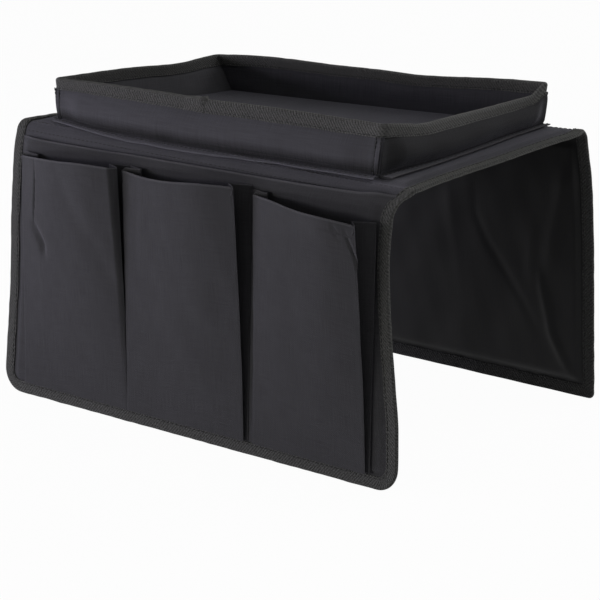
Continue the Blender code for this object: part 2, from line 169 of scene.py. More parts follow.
class Half:
    """The front or back half: from the middle of the top, over the fold and down the flap.

    A place on it is x along the arm, s down the half, and h out of the middle on the show side.
    """

    def __init__(self, side, lean, drop, corner, left_draw, right_draw):
        self.down = np.array([side * sin(lean), -cos(lean)])
        out = np.array([side * cos(lean), sin(lean)])
        hinge = np.array([side * HINGE_Y, HINGE_Z])
        start = np.array([side * (HINGE_Y + HINGE_DEPTH - BEND), MID])
        end = hinge + out * HINGE_DEPTH + self.down * (BEND - HINGE_DEPTH)
        handle = BEND * 4 / 3 * (sqrt(2) - 1)
        t = np.linspace(0, 1, 25)[:, None]
        bezier = ((1 - t) ** 3 * start + 3 * t * (1 - t) ** 2 * (start + [side * handle, 0])
                  + 3 * t * t * (1 - t) * (end - self.down * handle) + t ** 3 * end)
        run = drop - (BEND - HINGE_DEPTH)
        tail = end + self.down * (run + 0.01)
        middle = np.vstack([[0, MID], bezier, tail])
        steps = np.linalg.norm(np.diff(middle, axis=0), axis=1)
        reach = np.concatenate([[0], np.cumsum(steps)])
        self.s = np.arange(0, reach[-1], 0.0002)
        self.y, self.z = (np.interp(self.s, reach, middle[:, i]) for i in (0, 1))
        slope_y, slope_z = np.gradient(self.y, self.s), np.gradient(self.z, self.s)
        self.across_y, self.across_z = -side * slope_z, side * slope_y
        self.side, self.corner = side, corner
        self.fold = (reach[1], reach[-2])
        self.hem = reach[-2] + run
        self.ends = (start, end)
        self.draw = (left_draw, right_draw)

    def half_width(self, s):
        t = np.clip((s - self.fold[1]) / (self.hem - self.fold[1]), 0, 1)
        return FOLD_HALF + (HEM_HALF - FOLD_HALF) * t

    def flap(self, down):
        """The place s that lies this far below the hinge."""
        return self.fold[1] + down - (BEND - HINGE_DEPTH)

    def drawn(self, x, s):
        """Where the cloth has pulled an edge in or let it out, x follows."""
        down = (s - self.flap(0)) / MM
        left, right = (smooth_line(draw, down) for draw in self.draw)
        return x * np.where(x < 0, left, right)

    def place(self, x, s, h, drawn=True):
        x, s, h = np.broadcast_arrays(np.asarray(x, float), s, h)
        if drawn:
            x = self.drawn(x, s)
        y, z, out_y, out_z = (np.interp(s, self.s, v)
                              for v in (self.y, self.z, self.across_y, self.across_z))
        return settled(np.stack([x, y + out_y * h, z + out_z * h], -1))

    def bend(self, piece):
        """Bakes the piece's place into its mesh. The slope over this half's fold is worked out but not used.
        """
        starts, ends = (np.array([settled(np.array([x, *end])) for x in (-FOLD_HALF, 0, FOLD_HALF)])
                        for end in self.ends)
        slope = (ends - starts).mean(axis=0)
        slope = slope / (slope @ slope)
        slope[0] = -(slope[1:] @ (starts[-1] - starts[0])[1:]) / (2 * FOLD_HALF)
        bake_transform(piece)


# Each edge's pull is given as pairs of mm below the hinge and how far x is stretched or drawn in.
front = Half(-1, FRONT_LEAN, FRONT_DROP, HEM_RADIUS,
             ((-15, 1.004), (-4, 1), (4, 1.004), (12, 1.012), (40, 1.020), (106, 1.017), (155, 1.028),
              (171, 1.028)),
             ((-88, 1.026), (-52, 1.026), (-20, 1.034), (-7, 1.043), (-1, 1.036), (4, 0.998), (10, 0.970),
              (20, 0.956), (70, 0.949), (97, 0.962), (131, 0.981), (158, 0.979), (171, 0.978)))
back = Half(1, BACK_LEAN, BACK_DROP, BACK_HEM_RADIUS,
            ((-34, 1), (171, 1)),
            ((-88, 1.026), (-55, 1.018), (-38, 1.018), (-21, 1.022), (-9, 1.009), (-3, 0.992), (6, 0.993),
             (26, 1.007), (56, 1.010), (100, 1.003), (161, 0.990)))


class Value:
    """A number, colour or vector that runs through a finish, so that its maths reads as sums."""

    def __init__(self, finish, socket):
        self.finish, self.socket = finish, socket

    def maths(self, operation, *terms):
        return self.finish.add("Math", {"operation": operation}, dict(enumerate(terms)))

    def __add__(self, other):
        return self.maths("ADD", self, other)

    def __sub__(self, other):
        return self.maths("SUBTRACT", self, other)

    def __rsub__(self, other):
        return self.maths("SUBTRACT", other, self)

    def __mul__(self, other):
        return self.maths("MULTIPLY", self, other)

    def sine(self):
        return self.maths("SINE", self)

    def size(self):
        return self.maths("ABSOLUTE", self)

    __radd__ = __add__
    __rmul__ = __mul__


class Nodes:
    """A node tree, to which add() adds one node with its settings and its inputs."""

    def __init__(self, tree):
        self.tree = tree

    def add(self, kind, settings=(), sockets=(), out=0):
        node = self.tree.nodes.new(kind if "Node" in kind else "ShaderNode" + kind)
        for name, value in dict(settings).items():
            setattr(node, name, value)
        for name, value in dict(sockets).items():
            if isinstance(value, Value):
                self.tree.links.new(value.socket, node.inputs[name])
            else:
                node.inputs[name].default_value = value
        return Value(self, node.outputs[out])


class Finish(Nodes):
    """One material."""

    def __init__(self, name, roughness, sheen=0.0, tint=(1, 1, 1), specular=0.5):
        self.material = bpy.data.materials.new(name)
        self.material.use_nodes = True
        super().__init__(self.material.node_tree)
        self.shader = self.tree.nodes["Principled BSDF"]
        for socket, value in (("Roughness", roughness), ("Sheen Weight", sheen), ("Sheen Tint", (*tint, 1)),
                              ("Specular IOR Level", specular), ("Sheen Roughness", 0.45)):
            self.shader.inputs[socket].default_value = value

    def weave_place(self):
        """Along and across the cloth or tape, in metres."""
        split = self.add("SeparateXYZ", (), {0: self.add("UVMap", {"uv_map": "weave"})})
        return split, Value(self, split.socket.node.outputs[1])

    def stretched_noise(self, along, across, pitch_along, pitch_across, detail=2.0):
        spot = self.add("CombineXYZ", (), {0: along * (1 / pitch_along), 1: across * (1 / pitch_across)})
        return self.add("TexNoise", {"noise_dimensions": "2D"},
                        {"Vector": spot, "Scale": 1.0, "Detail": detail, "Roughness": 0.55})

    def patches(self, size, detail=2.0):
        spot = self.add("TexCoord", out=3)
        return self.add("TexNoise", {"noise_dimensions": "3D"},
                        {"Vector": spot, "Scale": 1 / size, "Detail": detail, "Roughness": 0.5})

    def painted_band(self, across, reach):
        """A band for painted light and shade: 1 on the line where across is nought, falling to 0 at this
        reach from it.
        """
        return self.add("Math", {"operation": "MAXIMUM"}, {0: 1 - across.size() * (1 / reach), 1: 0.0})

    def colour(self, dark, light, share):
        mixed = self.add("Mix", {"data_type": "RGBA", "clamp_factor": False},
                         {0: share, 6: (*dark, 1), 7: (*light, 1)}, out=2)
        self.tree.links.new(mixed.socket, self.shader.inputs["Base Color"])

    def rough(self, share):
        self.tree.links.new(share.socket, self.shader.inputs["Roughness"])

    def relief(self, height, distance):
        bump = self.add("Bump", (), {"Height": height, "Distance": distance, "Strength": 1.0})
        self.tree.links.new(bump.socket, self.shader.inputs["Normal"])


def grey_card():
    card = Finish("grey_card", 0.95)
    fibres = card.patches(0.004, detail=4)
    card.colour((0.24, 0.18, 0.12), (0.36, 0.28, 0.20), fibres)
    card.relief(fibres, 0.00008)
    return card.material


def sewn(name, points, material, thickness=CLOTH, weave=None):
    """A closed sheet through a grid of points, with each place in its weave kept in metres."""
    points = np.asarray(points, float)
    rows, columns = points.shape[:2]
    if weave is None:
        down = np.linalg.norm(np.diff(points, axis=0), axis=2).mean(1)
        over = np.linalg.norm(np.diff(points, axis=1), axis=2).mean(0)
        weave = np.meshgrid(np.concatenate([[0], np.cumsum(over)]), np.concatenate([[0], np.cumsum(down)]))
    index = np.arange(rows * columns).reshape(rows, columns)
    faces = np.stack([index[:-1, :-1], index[1:, :-1], index[1:, 1:], index[:-1, 1:]], -1).reshape(-1, 4)
    mesh = bpy.data.meshes.new(name)
    mesh.from_pydata(points.reshape(-1, 3).tolist(), [], faces.tolist())
    places = np.stack(weave, -1).reshape(-1, 2)[faces.reshape(-1)]
    mesh.uv_layers.new(name="weave").data.foreach_set("uv", places.astype(np.float32).ravel())
    mesh.materials.append(material)
    sheet = bpy.data.objects.new(name, mesh)
    bpy.context.scene.collection.objects.link(sheet)
    wall = sheet.modifiers.new("thickness", "SOLIDIFY")
    wall.thickness = thickness
    wall.offset = 0
    whole = bpy.data.meshes.new_from_object(sheet.evaluated_get(bpy.context.evaluated_depsgraph_get()))
    whole.name = name
    sheet.modifiers.clear()
    sheet.data = whole
    bpy.data.meshes.remove(mesh)
    whole.shade_smooth()
    whole.set_sharp_from_angle(angle=radians(50))
    return sheet


def stands_for(piece, slot, *nodes):
    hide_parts(*nodes)


card = grey_card()


def flap_card(half, name, node, body):
    s = np.linspace(half.flap(0.0098), half.hem - 0.0118, 12)[:, None]
    x = np.linspace(-1, 1, 21)[None] * (half.half_width(s) - 0.0115)
    piece = sewn(name, half.place(x, s, 0), card, BOARD)
    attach(piece, body)
    stands_for(piece, "card", node)


def box_card(name, node, stands_on_top, flat_axis, room=0.0, end_room=0.0):
    low, high = (np.array(corner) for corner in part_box(node))
    middle = (low + high) / 2
    first, second = [axis for axis in range(3) if axis != flat_axis]
    low[first] += room
    high[first] -= room
    low[second] += end_room
    high[second] -= end_room
    points = np.zeros((9, 21, 3)) + middle
    points[..., first] = np.linspace(low[first], high[first], 21)[None]
    points[..., second] = np.linspace(low[second], high[second], 9)[:, None]
    piece = sewn(name, settled(points, stands_on_top), card, BOARD)
    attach(piece, "top_tray")
    stands_for(piece, "card", node)


box_card("card_top", "top_board", False, 2, 0.005)
flap_card(front, "card_front_flap", "front_board", "front_panel")
flap_card(back, "card_back_flap", "back_board", "back_panel")
box_card("card_tray_floor", "tray_floor_board", True, 2, 0.004, 0.004)
for wall, flat_axis in (("front", 1), ("back", 1), ("left", 0), ("right", 0)):
    box_card("card_tray_" + wall, "tray_board_" + wall, True, flat_axis, 0.003)


# The outer cloth: one piece of charcoal woven polyester that covers the top and runs on over each
# fold and down the flap. It is sewn flat to the lining along both folds and round every edge,
# and climbs on to the card between. It is made here in two halves that meet under the tray.
EDGE_ROOM = 0.0010          # finished edge in to the edge of the cloth
SEAM_HEIGHT = 0.00026       # middle of a cloth over the middle of the panel, where it is sewn flat
CARD_HEIGHT = 0.00140       # and where it lies on the card
SEAM = 0.0080
CLIMB = 0.0030
FOLD_FLAT = 0.0058          # middle of the top's fold seam back to the card


def charcoal(name, dark, light, sheen, edge=0.0, painted_foot_shade=0.0):
    """Edge paints a highlight along the pressed fold, and the last argument paints shade in the wall's foot.
    """
    cloth = Finish(name, 0.82, sheen, (0.87, 0.85, 1.0), specular=0.10)
    along, across = cloth.weave_place()
    warp = cloth.stretched_noise(along, across, 0.00055, 0.018)
    weft = cloth.stretched_noise(along, across, 0.022, 0.00055)
    wear = cloth.patches(0.045)
    share = warp * 0.80 + weft * 0.65 + wear * 0.36 - 0.405
    # A painted highlight where across is nought, along the pressed fold.
    if edge:
        share = share + cloth.painted_band(across, 0.0007) * edge
    # Painted shade in the wall's foot, centred 6.4 mm past that fold.
    if painted_foot_shade:
        share = share - cloth.painted_band(across - 0.0064, 0.0066) * painted_foot_shade
    cloth.colour(dark, light, share)
    thread = 2 * pi / 0.0011
    weave = (along * thread).sine() * (across * thread).sine()
    cloth.relief(weave * 0.5 + warp * 0.8 + weft * 0.8, 0.00012)
    return cloth.material


charcoal_cloth = charcoal("charcoal_cloth", (0.031, 0.0305, 0.0345), (0.060, 0.059, 0.067), 0.20)


def seam_lift(half, x, s):
    """1 where the cloth lies on the card, 0 where it is sewn flat at an edge or a fold."""
    sideways = half.half_width(s) - EDGE_ROOM - abs(x)
    hemwards = half.hem - EDGE_ROOM - s
    before = half.fold[0] - FOLD_FLAT + CLIMB - s
    after = s - half.fold[1] - FOLD_FLAT + CLIMB
    lift = ramp(sideways, SEAM, SEAM + CLIMB) * ramp(hemwards, SEAM, SEAM + CLIMB)
    return lift * np.maximum(ramp(before, 0, CLIMB), ramp(after, 0, CLIMB))


def rows_to_hem(half, start, count):
    """Rows down to the hem, closer together where the corner turns."""
    corner = half.hem - half.corner
    turn = np.linspace(0, pi / 2, 10)[1:]
    return np.concatenate([np.linspace(start, corner, count),
                           corner + (half.corner - EDGE_ROOM) * np.sin(turn)])


def trimmed_width(half, s):
    """Half the cloth's width at s, with the rounded hem corners cut."""
    inside = np.clip(s - (half.hem - half.corner), 0, half.corner - EDGE_ROOM)
    radius = half.corner - EDGE_ROOM
    return half.half_width(s) - EDGE_ROOM - radius + np.sqrt(np.maximum(radius ** 2 - inside ** 2, 0))


def panel_grid(half, start, rows, columns):
    s = rows_to_hem(half, start, rows)[:, None]
    x = np.linspace(-1, 1, columns)[None] * trimmed_width(half, s)
    return x, s + 0 * x


def outer_cloth(half, name, nodes, seed):
    x, s = panel_grid(half, 0.0, 120, 161)
    height = SEAM_HEIGHT + (CARD_HEIGHT - SEAM_HEIGHT) * seam_lift(half, x, s)
    height += 0.00012 * unevenness(x, s, 0.05, seed)
    piece = sewn(name, half.place(x, s, height), charcoal_cloth, weave=(x, s))
    half.bend(piece)
    stands_for(piece, "cloth", *nodes)


outer_cloth(front, "outer_cloth_front", ("top_cover", "front_fold", "front_cover"), 11)
outer_cloth(back, "outer_cloth_back", ("back_fold", "back_cover"), 12)


# The lining: a thin, near black cloth with a soft shine, which faces the sofa arm. It is sewn to
# the outer cloth at the same seams, but hangs a little loose on the card and creases slantwise.
def black_lining():
    lining = Finish("black_lining", 0.50, 0.05, specular=0.14)
    along, across = lining.weave_place()
    threads = lining.stretched_noise(along, across, 0.0006, 0.012)
    wear = lining.patches(0.03)
    lining.colour((0.0075, 0.0075, 0.0080), (0.0135, 0.0135, 0.0140), threads * 0.5 + wear * 0.5)
    lining.rough(wear * 0.18 + 0.46)
    lining.relief(threads, 0.00005)
    return lining.material


lining_cloth = black_lining()


def distance_to(path, x, y):
    """From places to a line of (x, y) points in mm, and the share of the line that has been passed."""
    nearest = np.full(np.shape(x), np.inf)
    passed = np.zeros(np.shape(x))
    for at, (a, b) in enumerate(zip(path, path[1:])):
        ax, ay, bx, by = a[0] * MM, a[1] * MM, b[0] * MM, b[1] * MM
        length = hypot(bx - ax, by - ay)
        t = np.clip(((x - ax) * (bx - ax) + (y - ay) * (by - ay)) / length ** 2, 0, 1)
        gap = np.hypot(x - ax - t * (bx - ax), y - ay - t * (by - ay))
        passed = np.where(gap < nearest, (at + t) / (len(path) - 1), passed)
        nearest = np.minimum(gap, nearest)
    return nearest, passed


def crease(path, size, spread, x, y):
    """A soft ridge along a path, highest at its middle, with the path and both sizes in mm."""
    gap, passed = distance_to(path, x, y)
    return size * MM * np.exp(-(gap / (spread * MM)) ** 2) * np.sin(pi * (0.08 + 0.84 * passed))


LINING_CREASES = (((66, 40), (67, 58), (77, 75), (106, 108), (118, 126), -0.5, 3.0),
                  ((118, 88), (121, 99), (128, 125), (137, 139), (146, 151), 1.2, 2.8),
                  ((138, 18), (135, 31), (126, 71), (124, 90), 1.0, 5.5),
                  ((44, 40), (47, 60), (60, 128), 0.3, 4.5),
                  ((112, 60), (110, 84), (114, 100), 0.4, 4.0),
                  ((-120, 30), (-96, 80), (-70, 120), 1.2, 4.0),
                  ((-20, 24), (-40, 90), (-50, 140), 0.9, 5.0))


def slanting_creases(x, down, seed):
    """Soft slantwise creases, and a few longer ones that a hand would find again."""
    relief = 0.00035 * unevenness(x + 0.6 * down, 0.35 * down - 0.2 * x, 0.034, seed)
    relief += 0.00018 * unevenness(x - 0.5 * down, 0.3 * down, 0.016, seed + 1)
    for *path, rise, spread in LINING_CREASES:
        relief = relief + crease(path, rise, spread, x, down)
    return relief


def lining_half(half, name, nodes, seed):
    x, s = panel_grid(half, 0.0, 130, 181)
    lift = seam_lift(half, x, s)
    height = SEAM_HEIGHT + (CARD_HEIGHT - SEAM_HEIGHT) * lift
    on_flap = ramp(s, half.fold[1] + 0.004, half.fold[1] + 0.030)
    loose = slanting_creases(x, s - half.flap(0), seed) + 0.0010
    height += lift * on_flap * np.clip(loose, -0.0002, 0.0034)
    piece = sewn(name, half.place(x, s, -height), lining_cloth, weave=(x, s))
    half.bend(piece)
    stands_for(piece, "lining", *nodes)


lining_half(front, "lining_front", ("top_lining", "front_lining"), 21)
lining_half(back, "lining_back", ("back_lining",), 25)


# The flat pocket: a full-width charcoal panel over the front flap. Its mouth is a folded hem just
# below the fold, a little higher at the right end, and its other edges are caught in the edge tape.
POCKET_SEAM_HEIGHT = 0.00078
POCKET_CARD_HEIGHT = 0.00200
HEM_DEPTH = 0.0070
HEM_LAYER = 0.00045         # from the cloth's middle to the middle of the hem
MOUTH_LIFT = 0.0030         # how far the mouth stands off the flap
# The mouth's line: mm along x at the fold, and mm below the hinge.
MOUTH_X = np.array([-152, -123, -95, -73, -50, 0, 81, 104, 124, 134, 152]) * MM
MOUTH_DOWN = np.array([6.2, 6.6, 6.3, 6.0, 5.2, 4.4, 3.5, 3.0, 2.5, 1.5, 0.8]) * MM

# The pockets' cloth, with a painted highlight along its folded mouths.
pocket_cloth = charcoal("pocket_cloth", (0.0215, 0.0213, 0.0228), (0.0415, 0.0410, 0.0440), 0.20, edge=1.3)


def flat_pocket():
    x, s = panel_grid(front, front.flap(0.004), 110, 161)
    mouth = front.flap(np.interp(x[0] / front.half_width(s[0]) * FOLD_HALF, MOUTH_X, MOUTH_DOWN))[None]
    corner = front.hem - HEM_RADIUS
    s = np.where(s < corner, mouth + (s - s[0]) * (corner - mouth) / (corner - s[0]), s)
    lift = seam_lift(front, x, s)
    past = s - mouth
    height = POCKET_SEAM_HEIGHT + (POCKET_CARD_HEIGHT - POCKET_SEAM_HEIGHT) * lift
    height += MOUTH_LIFT * (1 - ramp(past, -0.004, 0.013)) * ramp(front.half_width(s) - abs(x), 0.004, 0.02)
    height += 0.00016 * unevenness(x, s, 0.035, 31)
    tucks = np.linspace(HEM_DEPTH, 0.0008, 8)[:, None]
    turn = np.linspace(-pi / 2, pi / 2, 7)[1:-1, None]
    x = np.vstack([x[:1] + 0 * tucks, x[:1] + 0 * turn, x])
    s = np.vstack([mouth + tucks, mouth - 0.0004 * np.cos(turn), s])
    height = np.vstack([height[:1] - 2 * HEM_LAYER + 0 * tucks,
                        height[:1] - HEM_LAYER + HEM_LAYER * np.sin(turn), height])
    # Nought at the mouth's fold, where pocket_cloth paints a highlight.
    weave_down = np.concatenate([-tucks[:, 0], 0 * turn[:, 0], past[:, 80]])
    piece = sewn("flat_pocket", front.place(x, s, height), pocket_cloth,
                 weave=(x, weave_down[:, None] + 0 * x))
    front.bend(piece)
    stands_for(piece, "cloth", "magazine_pocket")


flat_pocket()


# The three bellows pockets: each one cloth, pleated at both sides so that it opens like bellows.
# The left pleats lie shut and the right ones stand open, the mouths are folded hems that bow out,
# and below the mouth the face carries soft creases. All three are sewn down along the hem.
POCKET_BASE = 0.0034        # height of the pleats' foot over the flap's middle
FOOT_DOWN = 0.1612
PLEAT = 0.0135
FACE_INSET = 0.0018         # from a seam in to the face's edge
ROUND_INSET = 0.0004        # and where that edge rounds back
BILLOW = 0.0016             # how far the face bows out between its sides
HEM_THICK = 0.00085
CORNER_RISE = 0.0022        # how much higher the left pleats' mouth stands than the face's
TAPER = 1.35                # how fast a pocket narrows towards its foot
DEPTH_SHARES = (0.0, 0.25, 0.5, 0.75, 1.0)

# Each pocket's seams on the flap, in metres, and in mm how far its face stands off at the mouth and
# how far down its mouth lies, both at DEPTH_SHARES from left to right, how far its face starts from
# the left seam and rounds back at the right, and its creases: a path, a depth and a spread.
POCKETS = {
    "left": {
        "seams": (-0.1430, -0.0513), "rounds_back": 5.0,
        "stand": (2.6, 10.5, 15.5, 18.3, 14.8),
        "mouth": (17.2, 15.0, 13.2, 11.2, 11.3),
        "creases": (((19, 1.0), (15.5, 27), (13.5, 41), 1.3, 0.8),
                    ((13.5, 41), (22, 53), (24, 60), 2.5, 3.0),
                    ((42, 8), (64, 42), (88, 75), 0.9, 7.0),
                    ((88, 75), (98, 105), (104, 138), 0.8, 6.0)),
    },
    "middle": {
        "seams": (-0.0533, 0.0457),
        "stand": (5.6, 10.5, 15.5, 17.5, 12.4),
        "mouth": (13.6, 14.0, 12.2, 9.6, 8.9),
        "creases": (((16, 3), (13, 30), (11, 60), 0.25, 3.0), ((70, 20), (78, 60), (84, 110), 0.5, 9.0)),
    },
    "right": {
        "seams": (0.0462, 0.1387), "starts": 3.6,
        "stand": (3.2, 9.5, 14.0, 17.5, 14.9),
        "mouth": (13.4, 13.5, 14.9, 14.9, 16.6),
        "creases": (((79, 3.5), (84, 16), (90, 38), 1.2, 0.9),
                    ((71, 2), (73, 5.5), (74, 9), 0.8, 1.3),
                    ((30, 30), (36, 70), (40, 120), 0.4, 9.0)),
    },
}


def bellows_pocket(name, shape, seed):
    left, right = shape["seams"]
    rows = np.linspace(0, 1, 96)[:, None]            # 0 at the mouth, 1 at the foot
    share = np.linspace(0, 1, 121)[None]
    mouth, stand = (smooth_line(tuple(zip(DEPTH_SHARES, shape[part])), share) * MM
                    for part in ("mouth", "stand"))
    down = mouth + (FOOT_DOWN - mouth) * rows
    open_share = np.clip(1 - rows, 0, 1) ** TAPER
    stand = stand * open_share
    rounding = shape.get("rounds_back", 0) * MM
    face_left = left + FACE_INSET + shape.get("starts", 0) * MM
    width = right - face_left - (ROUND_INSET if rounding else FACE_INSET)
    stand = stand - rounding * open_share * np.clip((share - 0.968) / 0.032, 0, 1) ** 1.4
    flat_x = share * width + 0 * down
    billow = BILLOW * np.sin(pi * share) * np.sin(pi * np.clip(rows * 1.1, 0, 1)) ** 0.8
    hem_gape = 0.0006 * np.exp(-(rows * 18) ** 2) * np.sin(pi * share)
    height = POCKET_BASE + 0.0024 + stand + billow + hem_gape
    for *path, depth, spread in shape["creases"]:
        height = height - crease(path, depth, spread, flat_x, down - mouth)
    height = height + 0.00018 * unevenness(flat_x, down, 0.034, seed) * ramp(rows, 0, 0.1)
    height = height + 0.00005 * unevenness(flat_x, down, 0.012, seed + 1)
    face_x = face_left + flat_x

    def gusset(side, seam, edge_x, edge_height):
        """From the seam in to the pleat's fold and back out to the face's edge: x and height."""
        steps = np.linspace(0, 1, 9)[None, :]
        bend = np.linspace(-pi / 2, pi / 2, 7)[None, 1:-1]
        lift = edge_height - POCKET_BASE
        fold_x = seam + side * np.sqrt(np.maximum(PLEAT ** 2 - (lift / 2) ** 2, (PLEAT * 0.5) ** 2))
        fold_height = POCKET_BASE + lift * 0.45
        half_gap = np.clip(lift * 0.16, 0.0006, 0.0016) / 2
        rest = edge_height - 0.0006 - fold_height - half_gap
        x = np.hstack([seam + (fold_x - seam) * steps, fold_x + side * half_gap * np.cos(bend),
                       (fold_x + (edge_x - fold_x) * steps)[:, :-1]])
        return x, np.hstack([POCKET_BASE + (fold_height - half_gap - POCKET_BASE) * steps,
                             fold_height + half_gap * np.sin(bend),
                             (fold_height + half_gap + rest * steps ** 1.2)[:, :-1]])

    left_x, left_h = gusset(1, left, face_x[:, :1], height[:, :1])
    right_x, right_h = gusset(-1, right, face_x[:, -1:], height[:, -1:])
    x = np.hstack([left_x, face_x, right_x[:, ::-1]])
    h = np.hstack([left_h, height, right_h[:, ::-1]])
    d = np.hstack([down[:, :1] - CORNER_RISE * (1 - rows) + 0 * left_x, down, down[:, -1:] + 0 * right_x])
    tuck = np.linspace(HEM_DEPTH, 0.0006, 6)[:, None]
    turn = np.linspace(-pi / 2, pi / 2, 7)[1:-1, None]
    is_face = np.hstack([0 * left_x[:1], np.clip((1 - share) * 30, 0, 1), 0 * right_x[:1]])
    normal_x = -np.gradient(h[:1], axis=1)
    normal_h = np.gradient(x[:1], axis=1)
    size = np.hypot(normal_x, normal_h) + 1e-9
    normal_x, normal_h = normal_x / size, normal_h / size
    inset = np.vstack([HEM_THICK + 0 * tuck, HEM_THICK * (0.5 - 0.5 * np.sin(turn))]) * is_face
    deeper = np.vstack([tuck, -0.0004 * np.cos(turn)])
    top_edge = d[:1]
    x = np.vstack([x[:1] - normal_x * inset, x])
    h = np.vstack([h[:1] - normal_h * inset, h])
    d = np.vstack([top_edge + deeper * is_face + (1 - is_face) * np.abs(deeper) * 0.5, d])
    girth = distances(x[20], h[20])
    # The weave's across is nought at the mouth's top edge, where pocket_cloth paints a highlight.
    piece = sewn("pocket_cloth_" + name, front.place(x, front.flap(d), h, drawn=False), pocket_cloth,
                 weave=(left + girth[None] + 0 * x, d - top_edge))
    base = front.place(0, front.flap(0.08), POCKET_BASE)
    tip = front.place(0, front.flap(0.08), POCKET_BASE + 0.0200)
    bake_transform(piece)
    node = "pocket_" + name
    stands_for(piece, "cloth", node, node + "_gusset_a", node + "_gusset_b")


for seed, (name, shape) in enumerate(POCKETS.items()):
    bellows_pocket(name, shape, 41 + 3 * seed)


# The edge tape: black woven twill tape folded over every raw edge of the top and the flaps, and
# sewn through with one row of stitches. Here each half has its own length, from the middle of
# the top's left side, over the fold, round the flap and back up to the right side.
TAPE = 0.0006
TAPE_LEG = 0.0066           # tape edge to the edge of the cloth
TAPE_UNDER = 0.00055        # inner side of the tape over the middle of the panel
TAPE_OVER_POCKET = 0.00110
TAPE_ROW = 0.0054           # the stitches, in from the edge of the cloth
TAPE_STEP = 0.002


def twill(name, dark, light, painted_light_stretch=()):
    tape = Finish(name, 0.80, 0.12, (0.97, 0.98, 0.90), specular=0.10)
    along, across = tape.weave_place()
    rib = ((along * 1.0 + across * 0.9) * (2 * pi / 0.0021)).sine()
    thread = (across * (2 * pi / 0.0009)).sine()
    fuzz = tape.stretched_noise(along, across, 0.0011, 0.0011, detail=3)
    # A painted highlight along the tape's folded middle, where across is nought.
    share = rib * 0.13 + thread * 0.08 + fuzz * 1.3 - 0.14 + tape.painted_band(across, 0.0007) * 0.30
    # The last argument paints light over one stretch: a place along the tape, a reach and an amount.
    if painted_light_stretch:
        place, reach, amount = painted_light_stretch
        share = share + tape.painted_band(along - place, reach) * amount
    tape.colour(dark, light, share)
    tape.relief(rib * 0.5 + thread * 0.3 + fuzz * 0.8, 0.00030)
    return tape.material


black_tape = twill("black_tape", (0.010, 0.010, 0.0100), (0.094, 0.094, 0.092))


def tape_profile(over, under):
    """Middle of the folded tape's own thickness, as (reach, height) from show side to lining."""
    outer = TAPE / 2
    turn = np.linspace(pi / 2, -pi / 2, 11)
    top, bottom = over + outer, -(under + outer)
    mid, radius = (top + bottom) / 2, (top - bottom) / 2
    flat = np.linspace(-TAPE_LEG, 0, 9)[:-1]
    squeeze = 0.00022 * np.exp(-((flat + TAPE_ROW) / 0.0009) ** 2)
    legs_over = np.stack([flat, top - squeeze], -1)
    legs_under = np.stack([flat[::-1], bottom + squeeze[::-1]], -1)
    web = np.stack([np.cos(turn) * min(radius, EDGE_ROOM), mid + radius * np.sin(turn)], -1)
    return np.vstack([legs_over, web, legs_under])


def edge_path(half):
    """Along the cloth's edge: x, s, and which way is out of the panel, from left top to right top."""
    corner = half.hem - half.corner
    radius = half.corner - EDGE_ROOM
    sides = np.concatenate([np.arange(0, half.fold[0] - 0.001, TAPE_STEP),
                            np.linspace(half.fold[0] - 0.001, half.fold[1] + 0.001, 15),
                            np.arange(half.fold[1] + 0.003, corner - 0.001, TAPE_STEP)])
    edge = half.half_width(sides) - EDGE_ROOM
    turn = np.linspace(0, pi / 2, 13 if radius > 0.005 else 5)
    edge_at_corner = half.half_width(corner) - EDGE_ROOM - radius
    arc = np.stack([edge_at_corner + radius * np.cos(turn), corner + radius * np.sin(turn),
                    np.cos(turn), np.sin(turn)], -1)
    down = np.stack([edge, sides, 1 + 0 * sides, 0 * sides], -1)
    hem = np.linspace(edge_at_corner, -edge_at_corner, 151)[1:-1]
    hem = np.stack([hem, corner + radius + 0 * hem, 0 * hem, 1 + 0 * hem], -1)
    right = np.vstack([down, arc])
    left = right[::-1] * [-1, 1, -1, 1]
    return np.vstack([right, hem, left])[::-1]


def mitred(half, x, s, reach):
    """Keeps the inner side of the tape from crossing itself where the hem turns its corner."""
    s = np.minimum(s, half.hem - EDGE_ROOM + reach)
    widest = half.half_width(s) - EDGE_ROOM + reach
    return np.clip(x, -widest, widest), s


def edge_tape(half, name, nodes, flap_over, seed):
    path = edge_path(half)
    x, s, out_x, out_s = path.T
    travelled = distances(x, s)
    share = ramp(s, half.fold[1] - 0.002, half.fold[1] + 0.006)[:, None]
    low = tape_profile(TAPE_UNDER, TAPE_UNDER)
    high = tape_profile(flap_over, TAPE_UNDER)
    reach = low[None, :, 0] + 0 * share
    height = low[None, :, 1] * (1 - share) + high[None, :, 1] * share
    wave = unevenness(travelled, 0 * travelled, 0.030, seed)[:, None]
    fine = unevenness(travelled, 0 * travelled, 0.009, seed + 1)[:, None]
    reach = reach + (0.00030 * wave + 0.00012 * fine) * np.where(reach < -0.004, 1, 0.4)
    height = height + 0.00010 * fine
    at = mitred(half, x[:, None] + out_x[:, None] * reach, s[:, None] + out_s[:, None] * reach, reach)
    points = half.place(*at, height)
    girth = distances(*high.T)
    piece = sewn(name, points, black_tape, TAPE,
                 weave=(travelled[:, None] + 0 * reach, girth[None] - girth[-1] / 2 + 0 * reach))
    half.bend(piece)
    stands_for(piece, "tape", *nodes)
    return path


front_edge = edge_tape(front, "edge_tape_front",
                       ("top_binding_left", "front_fold_tape_left", "front_fold_tape_right",
                        "front_binding"), TAPE_OVER_POCKET, 51)
back_edge = edge_tape(back, "edge_tape_back",
                      ("top_binding_right", "back_fold_tape_left", "back_fold_tape_right",
                       "back_binding"), TAPE_UNDER, 55)


# The tray: four charcoal sleeves over card stand round a covered floor. Each sleeve's lower edge is
# turned out as a flange and sewn down to the top, and the upright corner seams join the sleeves.
WALL = 0.0038
TRAY_HALF_X = 0.1320
TRAY_FRONT = -0.0769
TRAY_BACK = 0.0761
